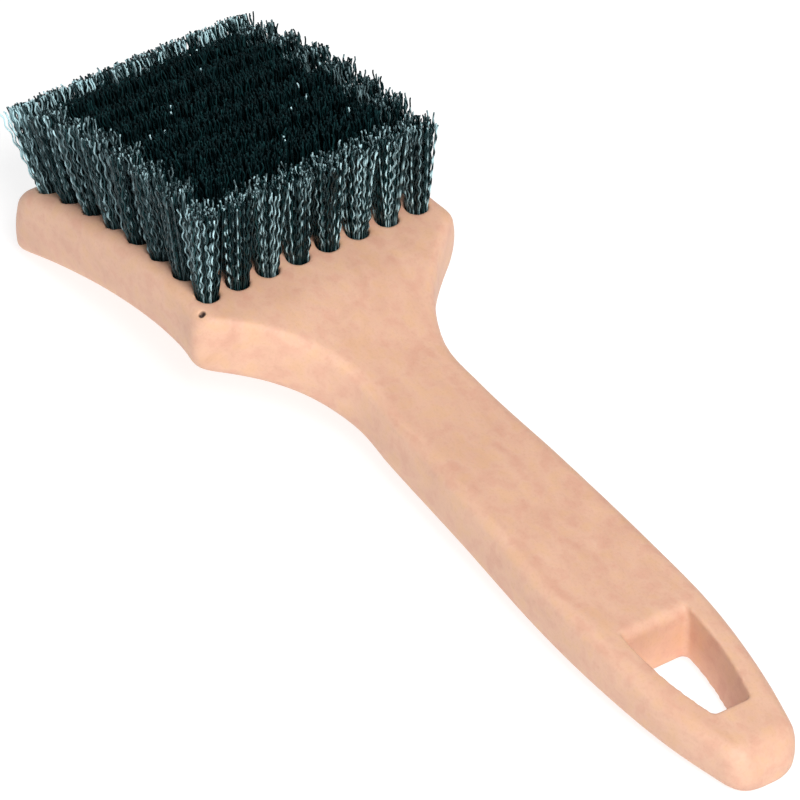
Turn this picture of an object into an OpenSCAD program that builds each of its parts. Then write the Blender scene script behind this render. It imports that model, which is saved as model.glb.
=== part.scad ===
// Short-handled wheel brush: one moulded block with an arched head, staple-set tufts in drilled holes.
// Millimetres. +Z is up with the bristles up, +X runs from the head to the end of the handle.

/* [Block] */
// Overall length of the moulded block
block_len = 235; // [220:1:260]
// Width of the head
head_w = 67; // [64:1:76]
// Plan radius of the two far corners of the head
head_corner_r = 8; // [3:0.5:9]
// Plan radius of the nose of the handle
nose_r = 5.5; // [4:0.5:6]
// Radius along every long edge
edge_r = 2.4; // [1:0.2:3]
// How far the middle of each side stands proud of its top and bottom edges
side_crown = 1; // [0:0.1:1.5]
// How much further it stands proud at the shoulder, where the head meets the neck
shoulder_crown = 0.5; // [0:0.1:1.6]
// Radius over the top of the nose
nose_top_r = 6.5; // [3:0.5:7]
// Radius under the nose
nose_under_r = 3; // [2:0.5:3]
// Radius over the far end of the head
far_edge_r = 8; // [3:0.5:9]

/* [Hang slot] */
// Distance from the nose to the near end of the slot
slot_from_nose = 14.6; // [13:0.2:18]
// Length of the slot along the handle
slot_len = 27; // [18:0.5:30]
// Width of the slot at its head end, in the top face
slot_w_wide = 17.4; // [14:0.2:18]
// Width of the slot at its nose end, in the top face
slot_w_narrow = 10.2; // [8:0.2:11]
// Width of the slot at its head end, just below the underside
slot_under_wide = 16.4; // [12:0.2:17]
// Width of the slot at its nose end, just below the underside
slot_under_narrow = 6.4; // [5:0.2:8]
// How far the middle of each flank of the slot bows outwards
slot_bow = 1; // [0:0.1:1.2]
// How far the two end walls of the slot draw in on their way down
slot_draft = 1.2; // [0:0.1:1.6]
// Radius of the slot's corners
slot_corner_r = 1.4; // [1:0.1:2]
// Radius over the slot's edge at its head end
slot_ease_r = 3; // [1:0.5:4]

/* [Tufts] */
// Tufts across the head in each row
columns = 8; // [4:1:8]
// Distance between tufts across the head
pitch_y = 8; // [7.6:0.1:8.4]
// Distance between rows along the head
pitch_x = 8.5; // [8:0.1:8.7]
// Distance from the far end of the block to the last row
last_row_x = 9; // [8:0.1:10]
// Free length of the bristles in the row nearest the handle
trim_near = 22; // [16:1:26]
// Free length of the bristles in the row at the far end
trim_far = 20; // [16:1:26]
// Lean of the row nearest the handle, away from the handle
lean_near = 6; // [0:1:8]
// Lean of the row at the far end
lean_far = 34; // [28:1:38]
// Sideways splay of the outermost columns
splay_edge = 1; // [0:1:7]
// Diameter of a tuft where it leaves the block
tuft_base_d = 5.6; // [5:0.1:6]
// Diameter of a tuft at its trimmed tips
tuft_tip_d = 7.6; // [6:0.1:8]

/* [Holes and anchors] */
// Diameter of the drilled hole
hole_d = 5.4; // [4.8:0.1:5.8]
// Depth of the drilled hole along its axis
hole_depth = 10; // [8:0.5:11]
// Height of the anchor strip
anchor_h = 2; // [1.6:0.1:2.6]
// Thickness of the anchor strip
anchor_t = 0.5; // [0.4:0.1:0.8]
// How far each end of the anchor bites into the wall of the hole
anchor_bite = 0.4; // [0.2:0.1:0.6]
// Height of the anchor above the bottom of the hole
anchor_lift = 1.2; // [0.8:0.1:1.6]
// Diameter of the gate mark at one corner of the head
gate_d = 1.4; // [1:0.1:2]

/* [Hidden] */
$fn = 48;

rows = 8;
tan_foam = "#EBC0A0";
teal_black = "#1F3336";
bright_steel = "#C8CCD0";

// The block's shape along its length, as drawn for a 235 mm block with a 67 mm head:
// [distance from the far end, half width, height of the top face, thickness].
// The head is an arch with a crisp corner where it meets the neck, and the handle thins to the nose.
drawn_len = 235;
drawn_head_w = 67;
stations = [
    [0, 33.6, 17.2, 17.2],
    [22, 33.6, 24.9, 16.4],
    [41, 33.2, 29.5, 15.8],
    [58, 33, 31.6, 15.3],
    [68, 33.1, 31.6, 15.2],
    [74.2, 33.3, 31.1, 15.2],
    [75, 32.7, 31, 15.2],
    [79, 28, 30.5, 15.3],
    [84, 22.5, 29.4, 15.3],
    [91, 16.5, 27.4, 15.4],
    [102, 11.6, 24.4, 15.5],
    [115, 11.6, 22.4, 15.4],
    [143, 12.9, 20.6, 14.9],
    [173, 14.3, 17.8, 14],
    [195, 14.2, 16, 12.9],
    [215, 11.8, 13.6, 12],
    [235, 7, 11.3, 11]
];
last_station = len(stations) - 1;
len_scale = block_len / drawn_len;
width_scale = head_w / drawn_head_w;

// Cubic curve through the stations: column 1 is half width, 2 the top face, 3 the thickness
function station_x(i) = stations[i][0] * len_scale;
function span_slope(i, c) = (stations[i + 1][c] - stations[i][c]) / (station_x(i + 1) - station_x(i));
function slope_at(i, c) =
    i == 0 ? span_slope(0, c) :
    i == last_station ? span_slope(last_station - 1, c) :
    (span_slope(i - 1, c) + span_slope(i, c)) / 2;
function span_of(x, i = 0) = i >= last_station - 1 || x < station_x(i + 1) ? i : span_of(x, i + 1);
function hermite(a, b, ta, tb, u) =
    a * (2 * pow(u, 3) - 3 * pow(u, 2) + 1) + ta * (pow(u, 3) - 2 * pow(u, 2) + u)
    + b * (3 * pow(u, 2) - 2 * pow(u, 3)) + tb * (pow(u, 3) - pow(u, 2));
function on_span(x, c, i) =
    let (step = station_x(i + 1) - station_x(i))
    hermite(stations[i][c], stations[i + 1][c], slope_at(i, c) * step, slope_at(i + 1, c) * step,
        (x - station_x(i)) / step);
function drawn(x, c) = on_span(x, c, span_of(x));

// How far a face has drawn in at distance d from an end that is rounded with radius r
function drawn_in(d, r) = d >= r ? 0 : r - sqrt(r * r - (r - d) * (r - d));
function end_gap(x) = block_len - x;
function half_width(x) =
    drawn(x, 1) * width_scale - drawn_in(x, head_corner_r) - drawn_in(end_gap(x), nose_r);
function face_z(x) = drawn(x, 2);
function top_z(x) = face_z(x) - drawn_in(x, far_edge_r) - drawn_in(end_gap(x), nose_top_r);
function bottom_z(x) =
    face_z(x) - drawn(x, 3) + drawn_in(x, edge_r) + drawn_in(end_gap(x), nose_under_r);

// One cross-section: a rectangle with rounded corners and slightly barrelled sides
corner_steps = 5;
side_steps = 4;
ring_size = 4 * (corner_steps + 1) + 2 * (side_steps - 1);
function corner_points(x, y, z, r, from) =
    [for (i = [0:corner_steps]) let (a = from + i * 90 / corner_steps) [x, y + r * cos(a), z + r * sin(a)]];
function side_points(x, y, from, to) =
    [for (i = [1:side_steps - 1]) [x, y, from + (to - from) * i / side_steps]];
shoulder_x = 74.2 * len_scale;
shoulder_reach = 6 * len_scale;
function crown(x) = side_crown + shoulder_crown * exp(-pow((x - shoulder_x) / shoulder_reach, 2));
function barrelled(p, t, b) =
    [p[0], p[1] + sign(p[1]) * crown(p[0]) * (1 - pow((2 * p[2] - t - b) / (t - b), 2)), p[2]];
function ring(x) =
    let (
        w = half_width(x),
        t = top_z(x),
        b = bottom_z(x),
        r = min(edge_r, w * 0.8, (t - b) * 0.4),
        outline = concat(
            corner_points(x, w - r, t - r, r, 0),
            corner_points(x, r - w, t - r, r, 90),
            side_points(x, -w, t - r, b + r),
            corner_points(x, r - w, b + r, r, 180),
            corner_points(x, w - r, b + r, r, 270),
            side_points(x, w, b + r, t - r)
        )
    )
    [for (p = outline) barrelled(p, t, b)];

// Sections crowd together where the two ends are rounded and where the head meets the neck
end_steps = 7;
head_steps = 22;
shoulder_steps = 26;
handle_steps = 46;
shoulder_from = 70 * len_scale;
shoulder_to = 96 * len_scale;
nose_round_x = block_len - nose_top_r;
function eased(r, i) = r * (1 - cos(90 * i / end_steps));
function evenly(from, to, steps) = [for (i = [1:steps - 1]) from + i * (to - from) / steps];
section_x = concat(
    [for (i = [1:end_steps]) eased(head_corner_r, i)],
    evenly(head_corner_r, shoulder_from, head_steps),
    [shoulder_from],
    evenly(shoulder_from, shoulder_to, shoulder_steps),
    [shoulder_to],
    evenly(shoulder_to, nose_round_x, handle_steps),
    [for (i = [end_steps:-1:1]) block_len - eased(nose_top_r, i)]
);
sections = len(section_x);

module blank() {
    points = [for (x = section_x) each ring(x)];
    sides = [
        for (s = [0:sections - 2], k = [0:ring_size - 1])
        let (a = s * ring_size + k, b = s * ring_size + (k + 1) % ring_size)
        each [[b, a, b + ring_size], [a, a + ring_size, b + ring_size]]
    ];
    far_end = [for (k = [0:ring_size - 1]) k];
    nose = [for (k = [ring_size - 1:-1:0]) (sections - 1) * ring_size + k];
    polyhedron(points, concat([far_end], sides, [nose]));
}

// Hang slot: right through, tapered towards the nose and more so underneath, with bowed flanks
flank_steps = 12;
slot_nose_x = block_len - slot_from_nose;
slot_head_x = slot_nose_x - slot_len;
above_and_below = 3;
function flank_y(u, wide, narrow) = (wide + (narrow - wide) * u) / 2 + slot_bow * sin(180 * u);
function flank(side, draw_in, wide, narrow) =
    [for (i = [0:flank_steps])
        let (u = i / flank_steps)
        [slot_head_x + draw_in + (slot_len - 2 * draw_in) * u, side * flank_y(u, wide, narrow)]];

module slot_outline(draw_in, wide, narrow) {
    left = flank(-1, draw_in, wide, narrow);
    right = flank(1, draw_in, wide, narrow);
    offset(r = slot_corner_r)
        offset(delta = -slot_corner_r)
            polygon(concat(left, [for (i = [flank_steps:-1:0]) right[i]]));
}

module top_outline() {
    slot_outline(0, slot_w_wide, slot_w_narrow);
}

module slot_cutter() {
    slot_mid_x = (slot_head_x + slot_nose_x) / 2;
    hull() {
        translate([0, 0, top_z(slot_mid_x)])
            linear_extrude(height = above_and_below)
                top_outline();
        translate([0, 0, bottom_z(slot_mid_x) - above_and_below])
            linear_extrude(height = above_and_below)
                slot_outline(slot_draft, slot_under_wide, slot_under_narrow);
    }
}

// What is cut away to round the edge between the top face and the slot's wall at its head end
module slot_ease_cutter() {
    start_x = slot_head_x - slot_ease_r + 0.2;
    start_z = top_z(start_x) - slot_ease_r;
    intersection() {
        translate([0, 0, start_z])
            linear_extrude(height = slot_ease_r + above_and_below)
                hull() {
                    top_outline();
                    translate([-slot_ease_r, 0])
                        top_outline();
                }
        difference() {
            translate([start_x, -slot_w_wide, start_z])
                cube([slot_ease_r + 0.5, 2 * slot_w_wide, slot_ease_r + above_and_below]);
            translate([start_x, 0, start_z])
                rotate([90, 0, 0])
                    cylinder(h = 3 * slot_w_wide, r = slot_ease_r, center = true);
        }
    }
}

// Tufts: row 1 is nearest the handle, row 8 at the far end of the head
function row_x(row) = last_row_x + (rows - row) * pitch_x;
function along_rows(near, far, row) = near + (far - near) * (row - 1) / (rows - 1);
function row_lean(row) = along_rows(lean_near, lean_far, row);
function row_trim(row) = along_rows(trim_near, trim_far, row);
function column_y(column) = (column - (columns + 1) / 2) * pitch_y;
function column_splay(column) = splay_edge * column_y(column) / (pitch_y * (columns - 1) / 2);

// Puts children on the face of the block at a tuft's place, with +Z along the tuft
module at_tuft(row, column) {
    translate([row_x(row), column_y(column), face_z(row_x(row))])
        rotate([-column_splay(column), -row_lean(row), 0])
            children();
}

module anchor_strip() {
    span = hole_d + 2 * anchor_bite;
    translate([-anchor_t / 2, -span / 2, anchor_lift - hole_depth])
        cube([anchor_t, span, anchor_h]);
}

// One bundle: the folded root fills the hole, and the filaments spread above the face
root_gap = 0.1;
clear_of_face = 1.2;
tip_dome = 1;
module tuft_bundle(trim_len) {
    difference() {
        rotate_extrude()
            polygon([
                [0, root_gap - hole_depth],
                [hole_d / 2 - root_gap, root_gap - hole_depth],
                [hole_d / 2 - root_gap, clear_of_face],
                [tuft_base_d / 2, clear_of_face],
                [tuft_tip_d / 2, trim_len - tip_dome],
                [tuft_tip_d / 2 - tip_dome, trim_len],
                [0, trim_len]
            ]);
        anchor_strip();
    }
}

// The gate mark sits on the handle side of the head, on the rounded edge at its left-hand corner
gate_x = row_x(1) + 4.2;
gate_y = -head_w / 2 + 1.1;
gate_z = face_z(gate_x) - 1.2 * gate_d;

// The origin is below the middle of the whole brush, on the plane that it rests on
far_tip_x = row_x(rows) - (trim_far - tip_dome) * sin(lean_far) - tuft_tip_d / 2 * cos(lean_far);
centre_x = (far_tip_x + section_x[sections - 1]) / 2;
lowest_z = min([for (x = section_x) bottom_z(x)]);

module placed() {
    translate([-centre_x, 0, -lowest_z])
        children();
}

module handle_block() {
    color(tan_foam)
        placed()
            difference() {
                blank();
                slot_cutter();
                slot_ease_cutter();
                for (row = [1:rows], column = [1:columns])
                    at_tuft(row, column) {
                        translate([0, 0, -hole_depth])
                            cylinder(h = 2 * hole_depth, d = hole_d);
                        anchor_strip();
                    }
                translate([gate_x, gate_y, gate_z])
                    cylinder(h = 2 * gate_d, d = gate_d);
            }
}

module tuft_row(row) {
    color(teal_black)
        placed()
            for (column = [1:columns])
                at_tuft(row, column)
                    tuft_bundle(row_trim(row));
}

module anchor_row(row) {
    color(bright_steel)
        placed()
            for (column = [1:columns])
                at_tuft(row, column)
                    anchor_strip();
}

handle_block();
tuft_row(1);  // tuft_row_1
tuft_row(2);  // tuft_row_2
tuft_row(3);  // tuft_row_3
tuft_row(4);  // tuft_row_4
tuft_row(5);  // tuft_row_5
tuft_row(6);  // tuft_row_6
tuft_row(7);  // tuft_row_7
tuft_row(8);  // tuft_row_8
anchor_row(1);  // anchor_row_1
anchor_row(2);  // anchor_row_2
anchor_row(3);  // anchor_row_3
anchor_row(4);  // anchor_row_4
anchor_row(5);  // anchor_row_5
anchor_row(6);  // anchor_row_6
anchor_row(7);  // anchor_row_7
anchor_row(8);  // anchor_row_8
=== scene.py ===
import math

import bmesh
import bpy
import numpy as np
from mathutils import Matrix, Vector


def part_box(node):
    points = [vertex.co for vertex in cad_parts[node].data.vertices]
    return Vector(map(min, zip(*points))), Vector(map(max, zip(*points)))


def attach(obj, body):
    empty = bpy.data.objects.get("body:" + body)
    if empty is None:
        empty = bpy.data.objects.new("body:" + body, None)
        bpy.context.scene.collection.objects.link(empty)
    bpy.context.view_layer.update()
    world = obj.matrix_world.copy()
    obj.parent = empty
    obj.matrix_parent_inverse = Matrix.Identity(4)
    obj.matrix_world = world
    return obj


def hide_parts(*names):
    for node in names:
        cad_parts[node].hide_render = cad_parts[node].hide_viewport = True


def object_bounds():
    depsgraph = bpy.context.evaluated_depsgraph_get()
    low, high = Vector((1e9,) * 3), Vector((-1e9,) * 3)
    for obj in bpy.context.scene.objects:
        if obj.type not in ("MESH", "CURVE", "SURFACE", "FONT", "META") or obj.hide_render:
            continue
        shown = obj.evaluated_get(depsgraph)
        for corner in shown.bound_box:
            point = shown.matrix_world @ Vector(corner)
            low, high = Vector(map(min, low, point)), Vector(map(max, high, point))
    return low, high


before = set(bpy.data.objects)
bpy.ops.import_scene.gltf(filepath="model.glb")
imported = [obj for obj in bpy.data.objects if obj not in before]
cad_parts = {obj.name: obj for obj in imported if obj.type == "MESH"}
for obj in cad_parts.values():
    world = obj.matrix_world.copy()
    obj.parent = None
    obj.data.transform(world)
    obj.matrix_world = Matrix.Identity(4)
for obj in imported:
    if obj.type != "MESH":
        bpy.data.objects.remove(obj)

CAD_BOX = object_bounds()
CAD_LOW = Vector(CAD_BOX[0])
CAD_HIGH = Vector(CAD_BOX[1])
BODY = "root"
MM = 0.001

BLOCK_NODE = "handle_block"
TUFT_NODES = sorted(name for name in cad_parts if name.startswith("tuft_row_"))
ANCHOR_NODES = sorted(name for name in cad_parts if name.startswith("anchor_row_"))


# ---------------------------------------------------------------- camera

AZIMUTH = 51.6            # degrees round from looking along +Y
ELEVATION = 40.2
ROLL = 3.5
DISTANCE = 1.95           # long lens, so the perspective is weak
LENS_MM = 407.4
SENSOR_MM = 36.0
AIM = Vector((-0.00584, -0.0054, 0.01944))    # from the middle of the brush's footprint


def make_camera():
    middle = (CAD_LOW + CAD_HIGH) / 2
    target = Vector((middle.x, middle.y, CAD_LOW.z)) + AIM
    turn = (
        Matrix.Rotation(math.radians(AZIMUTH), 4, "Z")
        @ Matrix.Rotation(math.radians(90 - ELEVATION), 4, "X")
        @ Matrix.Rotation(math.radians(ROLL), 4, "Z")
    )
    data = bpy.data.cameras.new("camera")
    data.sensor_width = SENSOR_MM
    data.lens = LENS_MM
    data.clip_start = 0.05
    data.clip_end = 20
    camera = bpy.data.objects.new("camera", data)
    bpy.context.scene.collection.objects.link(camera)
    back = turn.to_3x3() @ Vector((0, 0, 1))
    camera.matrix_world = Matrix.Translation(target + back * DISTANCE) @ turn
    bpy.context.scene.camera = camera


# ---------------------------------------------------------------- node helpers

def new_material(name):
    material = bpy.data.materials.new(name)
    material.use_nodes = True
    nodes = material.node_tree.nodes
    return material, nodes, material.node_tree.links, nodes["Principled BSDF"]


def object_coords(nodes, links, stretch=(1, 1, 1)):
    """Object coordinates scaled by stretch."""
    coords = nodes.new("ShaderNodeTexCoord")
    mapping = nodes.new("ShaderNodeMapping")
    mapping.inputs["Scale"].default_value = stretch
    links.new(coords.outputs["Object"], mapping.inputs["Vector"])
    return mapping.outputs["Vector"]


def noise(nodes, links, vector, scale, detail=4.0, rough=0.5, distort=0.0):
    node = nodes.new("ShaderNodeTexNoise")
    node.inputs["Scale"].default_value = scale
    node.inputs["Detail"].default_value = detail
    node.inputs["Roughness"].default_value = rough
    node.inputs["Distortion"].default_value = distort
    links.new(vector, node.inputs["Vector"])
    return node.outputs["Fac"]


def ramp(nodes, links, value, stops):
    """Colour ramp through stops of (position, (r, g, b))."""
    node = nodes.new("ShaderNodeValToRGB")
    elements = node.color_ramp.elements
    while len(elements) < len(stops):
        elements.new(0.5)
    for element, (position, colour) in zip(elements, stops):
        element.position = position
        element.color = (*colour, 1)
    links.new(value, node.inputs["Fac"])
    return node.outputs["Color"]


def mix(nodes, links, factor, a, b, blend="MIX"):
    node = nodes.new("ShaderNodeMix")
    node.data_type = "RGBA"
    node.blend_type = blend
    if isinstance(factor, (int, float)):
        node.inputs["Factor"].default_value = factor
    else:
        links.new(factor, node.inputs["Factor"])
    links.new(a, node.inputs["A"])
    if isinstance(b, tuple):
        node.inputs["B"].default_value = b
    else:
        links.new(b, node.inputs["B"])
    return node.outputs["Result"]


def map_range(nodes, links, value, low, high, to_low, to_high):
    node = nodes.new("ShaderNodeMapRange")
    node.inputs["From Min"].default_value = low
    node.inputs["From Max"].default_value = high
    node.inputs["To Min"].default_value = to_low
    node.inputs["To Max"].default_value = to_high
    links.new(value, node.inputs["Value"])
    return node.outputs["Result"]


def bump(nodes, links, height, distance, strength=1.0, below=None):
    node = nodes.new("ShaderNodeBump")
    node.inputs["Strength"].default_value = strength
    node.inputs["Distance"].default_value = distance
    links.new(height, node.inputs["Height"])
    if below is not None:
        links.new(below, node.inputs["Normal"])
    return node.outputs["Normal"]


# ---------------------------------------------------------------- materials

MARK_COLOUR = (0.045, 0.018, 0.014, 1)
MARK_INNER = 0.65 * MM    # the gate mark is dark within this radius
MARK_OUTER = 0.95 * MM    # and has faded out at this one
MARK_REACH = Vector((1, 1, 0.35))     # heights count for less, so that its bottom is dark as well
PAINTED_GLINT = "painted_glint"             # mesh attribute: how much painted highlight a filament carries at each point, from 0 to 1
# the colour of the painted highlights on the filaments
PAINTED_GLINT_COLOUR = (0.60, 0.88, 0.94, 1)


def gate_mask(nodes, links, gate):
    """1 at the gate mark, fading to 0 round it."""
    gap = nodes.new("ShaderNodeVectorMath")
    gap.operation = "DISTANCE"
    gap.inputs[1].default_value = gate * MARK_REACH
    links.new(object_coords(nodes, links, MARK_REACH), gap.inputs[0])
    return map_range(nodes, links, gap.outputs["Value"], MARK_INNER, MARK_OUTER, 1, 0)


def foam_material(gate):
    """Tan moulded structural foam: matt, with faint swirls, fine speckle and shallow pores."""
    material, nodes, links, shader = new_material("moulded_foam")
    flow = object_coords(nodes, links, (0.45, 1, 1))
    even = object_coords(nodes, links)
    swirl = noise(nodes, links, flow, 95, 5, 0.55, 1.6)
    patches = noise(nodes, links, even, 260, 3, 0.5)
    speckle = noise(nodes, links, even, 1500, 2, 0.6)
    base = ramp(nodes, links, swirl, [
        (0.30, (0.705, 0.408, 0.288)),
        (0.50, (0.748, 0.448, 0.318)),
        (0.72, (0.785, 0.482, 0.345)),
    ])
    tint = ramp(nodes, links, patches, [
        (0.35, (0.960, 0.900, 0.905)),
        (0.50, (1.0, 1.0, 1.0)),
        (0.66, (1.0, 1.0, 0.910)),
    ])
    grain = ramp(nodes, links, speckle, [
        (0.36, (0.90, 0.875, 0.85)),
        (0.47, (1.0, 1.0, 1.0)),
    ])
    tinted = mix(nodes, links, 1.0, base, tint, "MULTIPLY")
    grained = mix(nodes, links, 0.35, tinted, grain, "MULTIPLY")
    mark = gate_mask(nodes, links, gate)
    links.new(mix(nodes, links, mark, grained, MARK_COLOUR), shader.inputs["Base Color"])
    links.new(map_range(nodes, links, swirl, 0.3, 0.7, 0.50, 0.62), shader.inputs["Roughness"])
    ripple = bump(nodes, links, swirl, 0.25 * MM, 0.5)
    pores = bump(nodes, links, speckle, 0.06 * MM, 0.6, ripple)
    links.new(pores, shader.inputs["Normal"])
    shader.inputs["IOR"].default_value = 1.47
    shader.inputs["Subsurface Weight"].default_value = 0.06
    shader.inputs["Subsurface Radius"].default_value = (1.2 * MM, 0.6 * MM, 0.4 * MM)
    shader.inputs["Subsurface Scale"].default_value = 1.0
    return material


def nylon_material(name, rough_low, rough_high, gloss):
    """Blue-black nylon: every filament has its own tone, with a painted highlight mixed in where its
    mesh attribute says so.
    """
    material, nodes, links, shader = new_material(name)
    geometry = nodes.new("ShaderNodeNewGeometry")
    body = ramp(nodes, links, geometry.outputs["Random Per Island"], [
        (0.0, (0.002, 0.006, 0.007)),
        (0.55, (0.003, 0.013, 0.015)),
        (0.9, (0.006, 0.027, 0.030)),
        (1.0, (0.011, 0.045, 0.048)),
    ])
    dust = noise(nodes, links, object_coords(nodes, links), 900, 3, 0.6)
    worn = ramp(nodes, links, dust, [(0.35, (0.75, 0.75, 0.75)), (0.7, (1.25, 1.25, 1.25))])
    painted_glint = nodes.new("ShaderNodeAttribute")
    painted_glint.attribute_name = PAINTED_GLINT
    dark = mix(nodes, links, 1.0, body, worn, "MULTIPLY")
    # painted highlight: the filament's colour is mixed towards the highlight colour by the mesh
    # attribute
    links.new(mix(nodes, links, painted_glint.outputs["Fac"], dark, PAINTED_GLINT_COLOUR), shader.inputs["Base Color"])
    roughness = map_range(nodes, links, dust, 0.3, 0.7, rough_low, rough_high)
    links.new(roughness, shader.inputs["Roughness"])
    lines = noise(nodes, links, object_coords(nodes, links, (1, 1, 0.15)), 9000, 1, 0.5)
    links.new(bump(nodes, links, lines, 0.02 * MM, 0.4), shader.inputs["Normal"])
    shader.inputs["IOR"].default_value = 1.48
    shader.inputs["Specular IOR Level"].default_value = gloss
    shader.inputs["Specular Tint"].default_value = (0.58, 0.92, 1.0, 1)
    return material


def steel_material():
    """Cold-drawn flat wire: fine lines along the strip."""
    material, nodes, links, shader = new_material("anchor_steel")
    lines = noise(nodes, links, object_coords(nodes, links, (1, 0.05, 1)), 6000, 2, 0.5)
    colour = ramp(nodes, links, lines, [(0.3, (0.50, 0.51, 0.52)), (0.7, (0.66, 0.67, 0.68))])
    links.new(colour, shader.inputs["Base Color"])
    links.new(map_range(nodes, links, lines, 0.3, 0.7, 0.28, 0.42), shader.inputs["Roughness"])
    shader.inputs["Metallic"].default_value = 1.0
    return material


def floor_material():
    """White table top, lit softly from below so that it stays white round the brush."""
    material, nodes, links, shader = new_material("studio_floor")
    tone = noise(nodes, links, object_coords(nodes, links), 6, 2)
    colour = ramp(nodes, links, tone, [(0.3, (0.34, 0.34, 0.345)), (0.7, (0.35, 0.35, 0.35))])
    links.new(colour, shader.inputs["Base Color"])
    shader.inputs["Roughness"].default_value = 0.9
    shader.inputs["Specular IOR Level"].default_value = 0.1
    shader.inputs["Emission Color"].default_value = (1, 1, 1, 1)
    shader.inputs["Emission Strength"].default_value = FLOOR_GLOW
    return material


# ---------------------------------------------------------------- mesh helpers

def add_object(name, mesh, material):
    piece = bpy.data.objects.new(name, mesh)
    piece.data.materials.append(material)
    bpy.context.scene.collection.objects.link(piece)
    return piece


def declare(piece, slot, *nodes):
    """A new piece rides on the brush and stands for nodes; slot is not used."""
    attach(piece, BODY)
    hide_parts(*nodes)


def shade_smooth(mesh):
    mesh.polygons.foreach_set("use_smooth", [True] * len(mesh.polygons))


def welded(node):
    """A bmesh of a CAD node with its split vertices joined."""
    work = bmesh.new()
    work.from_mesh(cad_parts[node].data)
    bmesh.ops.remove_doubles(work, verts=work.verts, dist=1e-6)
    return work


# ---------------------------------------------------------------- the block

VOXEL = 0.42 * MM         # size of the remesh
SOFTEN_STEPS = 7          # each step rounds the edges a little more
KEEP = 0.36               # share of the faces kept once the surface is smooth
GATE_FROM_END = 72.7 * MM     # gate mark, from the far end of the block
GATE_Y = -32.4 * MM
GATE_RADIUS = 0.9 * MM
GATE_DEPTH = 0.7 * MM


def gate_place():
    """The gate mark at one corner of the head: its middle, on the top face of the block."""
    points = np.array([vert.co[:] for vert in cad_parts[BLOCK_NODE].data.vertices])
    place = np.array([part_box(BLOCK_NODE)[0][0] + GATE_FROM_END, GATE_Y])
    near = np.hypot(*(points[:, :2] - place).T) < 1.2 * GATE_RADIUS
    return Vector((*place, points[near, 2].max()))


def press_gate(mesh, gate):
    """Sinks a small round dimple into the block at the gate mark."""
    points = np.empty(len(mesh.vertices) * 3)
    mesh.vertices.foreach_get("co", points)
    points = points.reshape(-1, 3)
    gap = np.hypot(points[:, 0] - gate.x, points[:, 1] - gate.y)
    near = (gap < GATE_RADIUS) & (np.abs(points[:, 2] - gate.z) < 2 * GATE_DEPTH)
    bowl = 1 - (gap[near] / GATE_RADIUS) ** 2
    points[near, 2] = np.minimum(points[near, 2], gate.z - GATE_DEPTH * bowl)
    mesh.vertices.foreach_set("co", points.ravel())


def make_block(material, gate):
    """The moulded block: the CAD solid remeshed evenly, then relaxed so that every edge is soft."""
    work = welded(BLOCK_NODE)
    mesh = bpy.data.meshes.new("block")
    work.to_mesh(mesh)
    work.free()
    block = add_object("moulded_block", mesh, material)
    remesh = block.modifiers.new("remesh", "REMESH")
    remesh.mode = "VOXEL"
    remesh.voxel_size = VOXEL
    soften = block.modifiers.new("soften", "SMOOTH")
    soften.factor = 0.5
    soften.iterations = SOFTEN_STEPS
    thin = block.modifiers.new("thin", "DECIMATE")
    thin.ratio = KEEP
    depsgraph = bpy.context.evaluated_depsgraph_get()
    shaped = bpy.data.meshes.new_from_object(block.evaluated_get(depsgraph))
    block.modifiers.clear()
    block.data = shaped
    block.data.name = "moulded_block"
    if not shaped.materials:
        shaped.materials.append(material)
    press_gate(shaped, gate)
    shade_smooth(shaped)
    declare(block, "block_foam", BLOCK_NODE)


# ---------------------------------------------------------------- the bristles

ROOT_LEN = 9.9 * MM       # how far a CAD tuft reaches below the face of the block
ROOT_DEPTH = 9.4 * MM     # fold of the bundle, near the bottom of its hole
ANCHOR_LOW = -8.8 * MM    # the anchor strip, measured along the tuft from the face
ANCHOR_HIGH = -6.8 * MM
ANCHOR_SIDE = 0.62 * MM   # filaments pass the strip at least this far to each side
HOLE_RADIUS = 2.7 * MM
FILAMENT_RADIUS = 0.23 * MM
FILAMENTS = 100           # in each tuft
SIDES = 3                 # of a filament
START_SPREAD = 0.06 * MM  # random spread of the filaments: where each starts in the hole,
TRIM_SPREAD = 0.35 * MM   # how far its end falls short of the trim,
LEAN_SPREAD = math.tan(math.radians(1.5))     # how much it leans to one side
CURL_SPREAD = 0.7 * MM    # and how far its tip curls away
CRIMP_DEPTH = 0.27 * MM
CRIMP_LENGTH = 3.6 * MM
CRIMP_RANGE = (0.85, 1.20)    # the shortest and longest crimps, as shares of CRIMP_LENGTH
CRIMP_TURN = 1.3          # random spread of the crimps' direction, in radians,
CRIMP_SHIFT = 1.9         # and of their phase
BULGE = 0.30              # how much a tuft swells just above its hole, and over what height
BULGE_HEIGHT = 4 * MM
EDGE_FLARE = 0.016 / MM   # and how much it goes on spreading above that, round the edge and inside
INNER_FLARE = 0.028 / MM
FREE_POINTS = 34          # along a filament, from the face of the block to its end
CORNER_GLINT = 2.6         # gain on the painted highlight on the crimps: at the two left-hand corners, in row 1 and at the far end, at the near end of each side and inside the grid
FRONT_GLINT = 1.8          # in row 1 and at the far end,
SIDE_GLINT = 0.5           # at the near end of each side
INNER_GLINT = 0.05         # and inside the grid
DARK_TIP = 4.0 * MM       # inner filaments get no painted highlight, and so stay dark, over this much of their tips
GLINT_TIP_LENGTH = 6.0 * MM         # filaments of the outermost tufts carry a painted highlight over this much of their tips
FAR_TIP_GLINT = 1.8            # gain on how much they do: at the far end,
CORNER_TIP_GLINT = 1.0         # towards the far end of the left side
NEAR_TIP_GLINT = 0.15          # and elsewhere on the edge
PAINTED_GLINT_ENDS = 0.006         # share of the filaments with a painted glint on their trimmed end
OUTER, INNER, CUT_END = range(3)      # the finishes of a row, in the order of its material slots
ROOT_STEPS = (-ROOT_DEPTH, ANCHOR_LOW, ANCHOR_HIGH, -4 * MM, -1.2 * MM)     # its points in the hole
GOLDEN_ANGLE = math.radians(137.508)


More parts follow.
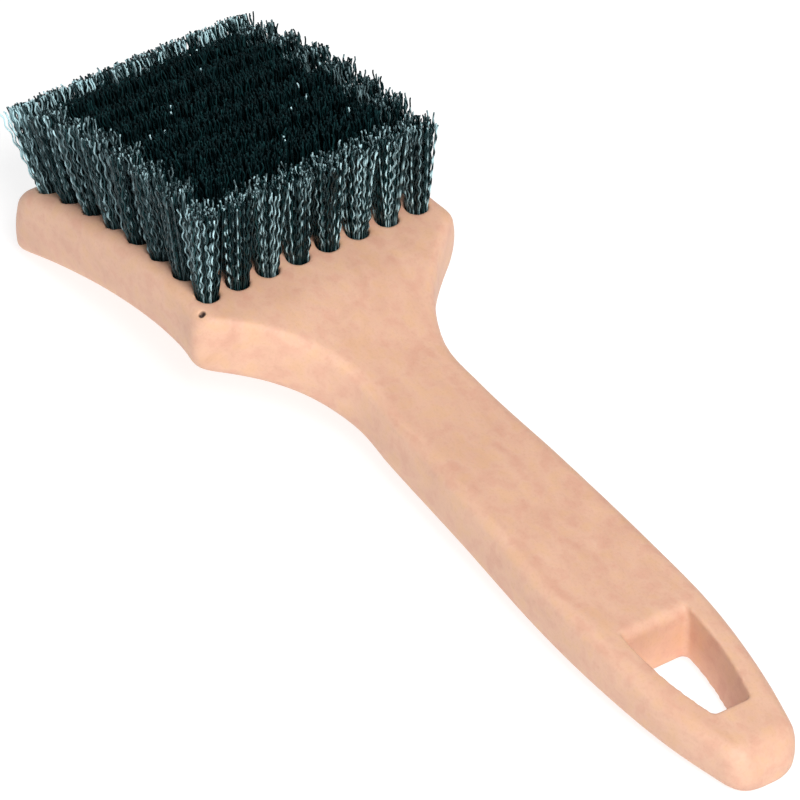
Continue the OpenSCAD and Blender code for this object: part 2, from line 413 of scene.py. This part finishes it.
def islands(work):
    """The separate solids in a bmesh, each as an array of its vertices."""
    seen = set()
    found = []
    for start in work.verts:
        if start in seen:
            continue
        seen.add(start)
        stack = [start]
        group = []
        while stack:
            vert = stack.pop()
            group.append(vert.co[:])
            for edge in vert.link_edges:
                other = edge.other_vert(vert)
                if other not in seen:
                    seen.add(other)
                    stack.append(other)
        found.append(np.array(group))
    return found


def tuft_axes(node):
    """(root centre, tip centre) of every tuft in a CAD row, from its own vertices."""
    work = welded(node)
    axes = []
    for points in islands(work):
        middle = points.mean(axis=0)
        axis = np.linalg.svd(points - middle, full_matrices=False)[2][0]
        if axis[2] < 0:
            axis = -axis
        along = (points - middle) @ axis
        root = points[along < along.min() + 0.1 * MM].mean(axis=0)
        tip = points[along > along.max() - 0.1 * MM].mean(axis=0)
        axes.append((root, tip))
    work.free()
    return sorted(axes, key=lambda pair: pair[0][1])


def bundle_points(rng, free_len, flare):
    """Filament centre lines in a tuft's own frame, w along the tuft and 0 at the face.

    The second array says which way each point bends, at a length of 1 on the crest of a crimp.
    """
    index = np.arange(FILAMENTS)
    radius = (HOLE_RADIUS - 1.1 * FILAMENT_RADIUS) * np.sqrt((index + 0.5) / FILAMENTS)
    angle = index * GOLDEN_ANGLE + rng.uniform(0, 2 * math.pi)
    start = np.stack([radius * np.cos(angle), radius * np.sin(angle)], axis=1)
    start += rng.normal(0, START_SPREAD, start.shape)

    length = free_len - np.abs(rng.normal(0, TRIM_SPREAD, FILAMENTS))
    w = np.concatenate([
        np.tile(ROOT_STEPS, (FILAMENTS, 1)),
        np.linspace(0, 1, FREE_POINTS)[None, :] * length[:, None],
    ], axis=1)
    above = np.clip(w, 0, None)

    swell = 1 + BULGE * (1 - np.exp(-above / BULGE_HEIGHT)) + flare * above
    lean = rng.normal(0, LEAN_SPREAD, start.shape)
    curl = rng.normal(0, CURL_SPREAD, start.shape)
    path = start[:, None, :] * swell[..., None] + lean[:, None, :] * above[..., None]
    path = path + curl[:, None, :] * ((above / free_len) ** 2)[..., None]

    # The filaments of a bundle were crimped together, so their waves roughly line up.
    wave_angle = rng.uniform(0, 2 * math.pi) + rng.normal(0, CRIMP_TURN, FILAMENTS)
    wave_way = np.stack([np.cos(wave_angle), np.sin(wave_angle)], axis=1)
    pitch = CRIMP_LENGTH * rng.uniform(*CRIMP_RANGE, FILAMENTS)
    phase = rng.uniform(0, 2 * math.pi) + rng.normal(0, CRIMP_SHIFT, FILAMENTS)
    fade = np.clip((w + 0.5 * MM) / (2.5 * MM), 0, 1)
    wave = np.sin(2 * math.pi * w / pitch[:, None] + phase[:, None]) * fade
    sideways = wave[..., None] * wave_way[:, None, :]
    path = path + CRIMP_DEPTH * sideways

    # Down in the hole every filament keeps to one side of the anchor strip.
    beside = (w >= ANCHOR_LOW - 0.1 * MM) & (w <= ANCHOR_HIGH + 0.1 * MM)
    side = np.where(path[..., 0] < 0, -1, 1)
    across = np.maximum(np.abs(path[..., 0]), ANCHOR_SIDE)
    path[..., 0] = np.where(beside, side * across, path[..., 0])
    bend = np.concatenate([sideways, np.zeros_like(w)[..., None]], axis=2)
    return np.concatenate([path, w[..., None]], axis=2), bend


def painted_glints(rng, ring, bend, above, free_len, crest_glint, tip_glint):
    """How much painted highlight each vertex carries, from 0 to 1: on the outer side of its crimps'
    crests, along the tips of the edge tufts and on a few trimmed ends.
    """
    outwards = (ring * bend[:, :, None, :]).sum(axis=3)
    crest = np.clip((outwards + 0.15) / 0.7, 0, 1)
    # A few filaments carry a lot of painted highlight and most hardly any.
    share = np.clip(1.25 * rng.uniform(0, 1, len(ring))[:, None] ** 2.5 - 0.2, 0, 1)
    below_tip = free_len - above
    # Inner tufts get no painted highlight on their crests near the tips.
    if tip_glint == 0:
        crest *= (below_tip > DARK_TIP)[..., None]
    # painted highlight along the tips of the edge tufts, strongest at the far end and towards the far
    # left
    glinting_tips = tip_glint * share * np.clip(1 - below_tip / GLINT_TIP_LENGTH, 0, 1)
    painted_glint = np.clip(crest * crest_glint * share[..., None] + glinting_tips[..., None], 0, 1)
    # a few filaments get a painted glint on their last two rings, at the trimmed end
    painted_glint[rng.uniform(0, 1, len(ring)) < PAINTED_GLINT_ENDS, -2:] = 1
    return painted_glint


def tubes(lines):
    """Vertices and faces of a closed tube round each centre line, and which way each vertex faces."""
    count, steps = lines.shape[:2]
    tangent = np.gradient(lines, axis=1)
    tangent /= np.linalg.norm(tangent, axis=2, keepdims=True)
    first = np.array([1.0, 0, 0]) - tangent[..., :1] * tangent
    first /= np.linalg.norm(first, axis=2, keepdims=True)
    second = np.cross(tangent, first)
    turn = 2 * math.pi * np.arange(SIDES) / SIDES
    ring = first[:, :, None, :] * np.cos(turn)[:, None] + second[:, :, None, :] * np.sin(turn)[:, None]
    verts = (lines[:, :, None, :] + FILAMENT_RADIUS * ring).reshape(-1, 3)

    step, side = np.meshgrid(np.arange(steps - 1), np.arange(SIDES), indexing="ij")
    here = step * SIDES + side
    beside = step * SIDES + (side + 1) % SIDES
    quads = np.stack([here, beside, beside + SIDES, here + SIDES], axis=-1).reshape(-1, 4)
    caps = np.stack([np.arange(SIDES)[::-1], (steps - 1) * SIDES + np.arange(SIDES)])
    offsets = np.arange(count) * steps * SIDES
    return (
        verts,
        (quads[None] + offsets[:, None, None]).reshape(-1, 4),
        (caps[None] + offsets[:, None, None]).reshape(-1, SIDES),
        ring,
    )


def tuft_frame(root, tip):
    """3 by 3 whose columns are a tuft's u, v and w directions; u points along the brush."""
    w = (tip - root) / np.linalg.norm(tip - root)
    v = np.cross(w, [1.0, 0, 0])
    v /= np.linalg.norm(v)
    return np.stack([np.cross(v, w), v, w], axis=1)


def tuft_glints(row, column, columns):
    """The gains of one tuft: on the painted highlight on its crimps, and on the painted highlight along
    its tips.
    """
    last_row = len(TUFT_NODES)
    at_side = column in (0, columns - 1)
    if row not in (1, last_row) and not at_side:
        return INNER_GLINT, 0
    towards_far_end = (row - 1) / (last_row - 1)
    crest_glint = FRONT_GLINT
    tip_glint = NEAR_TIP_GLINT
    if column == 0 and row in (1, last_row):
        crest_glint = CORNER_GLINT
    elif row > 1:
        crest_glint = SIDE_GLINT + (FRONT_GLINT - SIDE_GLINT) * towards_far_end ** 2
    if row == last_row:
        tip_glint = FAR_TIP_GLINT
    elif column == 0:
        tip_glint = NEAR_TIP_GLINT + (CORNER_TIP_GLINT - NEAR_TIP_GLINT) * towards_far_end ** 3
    return crest_glint, tip_glint


def make_bristle_row(node, finishes):
    number = int(node.rsplit("_", 1)[1])
    rng = np.random.default_rng(1000 + number)
    verts, quads, caps, painted_glint, finish = [], [], [], [], []
    base = 0
    axes = tuft_axes(node)
    for column, (root, tip) in enumerate(axes):
        crest_glint, tip_glint = tuft_glints(number, column, len(axes))
        at_edge = tip_glint > 0
        turn = tuft_frame(root, tip)
        free_len = np.linalg.norm(tip - root) - ROOT_LEN
        face = tip - turn[:, 2] * free_len
        lines, bend = bundle_points(rng, free_len, EDGE_FLARE if at_edge else INNER_FLARE)
        points, sides, ends, ring = tubes(lines)
        painted_glint.append(painted_glints(rng, ring, bend, lines[..., 2], free_len, crest_glint, tip_glint).ravel())
        verts.append(points @ turn.T + face)
        quads.append(sides + base)
        caps.append(ends + base)
        finish += [OUTER if at_edge else INNER] * len(sides)
        base += len(points)
    mesh = bpy.data.meshes.new("bristles")
    tube_sides = np.concatenate(quads).tolist()
    tube_ends = np.concatenate(caps).tolist()
    mesh.from_pydata(np.concatenate(verts).tolist(), [], tube_sides + tube_ends)
    mesh.attributes.new(PAINTED_GLINT, "FLOAT", "POINT").data.foreach_set("value", np.concatenate(painted_glint))
    mesh.update()
    shade_smooth(mesh)
    row = add_object(f"bristles_row_{number}", mesh, finishes[OUTER])
    mesh.materials.append(finishes[INNER])
    mesh.materials.append(finishes[CUT_END])
    mesh.polygons.foreach_set("material_index", finish + [CUT_END] * len(tube_ends))
    declare(row, "bristle", node)


# ---------------------------------------------------------------- the anchors

def finish_anchors():
    """The anchors keep their CAD shape and take a steel finish."""
    steel = steel_material()
    for node in ANCHOR_NODES:
        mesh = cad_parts[node].data
        mesh.materials.clear()
        mesh.materials.append(steel)


# ---------------------------------------------------------------- studio

FLOOR_GLOW = 0.78         # the floor gives this much light itself, so that shadows on it stay faint
FLOOR_HALF = 6.0
SKY_COLOUR = (0.97, 0.985, 1.0, 1)
SKY_STRENGTH = 0.38
# Area lights: (name, place, what it points at, size, watts, colour)
LIGHTS = [
    ("key", (1.16, -0.34, 1.48), (0, 0, 0.02), (0.9, 0.9), 33, (1.0, 0.985, 0.96)),
    ("low_front", (1.2, -0.75, 0.12), (0, 0, 0.04), (0.5, 0.12), 1.2, (0.85, 0.97, 1.0)),
    ("low_left", (-0.25, -1.3, 0.14), (-0.07, 0, 0.04), (0.5, 0.12), 0.9, (0.62, 0.88, 1.0)),
]


def add_area_light(name, place, aim, size, power, colour):
    data = bpy.data.lights.new(name, "AREA")
    data.shape = "RECTANGLE"
    data.size = size[0]
    data.size_y = size[1]
    data.energy = power
    data.color = colour
    light = bpy.data.objects.new(name, data)
    bpy.context.scene.collection.objects.link(light)
    light.location = place
    light.rotation_euler = (Vector(aim) - Vector(place)).to_track_quat("-Z", "Y").to_euler()


def make_studio():
    mesh = bpy.data.meshes.new("floor")
    corners = [(x * FLOOR_HALF, y * FLOOR_HALF, 0) for x, y in ((-1, -1), (1, -1), (1, 1), (-1, 1))]
    mesh.from_pydata(corners, [], [(0, 1, 2, 3)])
    floor = add_object("studio_floor", mesh, floor_material())
    floor.location.z = CAD_LOW.z

    world = bpy.data.worlds.new("studio")
    world.use_nodes = True
    background = world.node_tree.nodes["Background"]
    background.inputs["Color"].default_value = SKY_COLOUR
    background.inputs["Strength"].default_value = SKY_STRENGTH
    bpy.context.scene.world = world
    bpy.context.scene.view_settings.view_transform = "Standard"

    for light in LIGHTS:
        add_area_light(*light)


# ---------------------------------------------------------------- build

def main():
    make_camera()
    gate = gate_place()
    make_block(foam_material(gate), gate)
    finishes = [
        nylon_material("bristle_outer", 0.22, 0.36, 0.4),
        # the inner tufts take a duller, less glossy copy of the nylon: painted shade for the inside of
        # the bristle field
        nylon_material("bristle_inner_shaded", 0.45, 0.60, 0.12),
        nylon_material("bristle_cut_end", 0.75, 0.95, 0.3),
    ]
    for node in TUFT_NODES:
        make_bristle_row(node, finishes)
    finish_anchors()
    make_studio()


main()
bpy.context.view_layer.update()
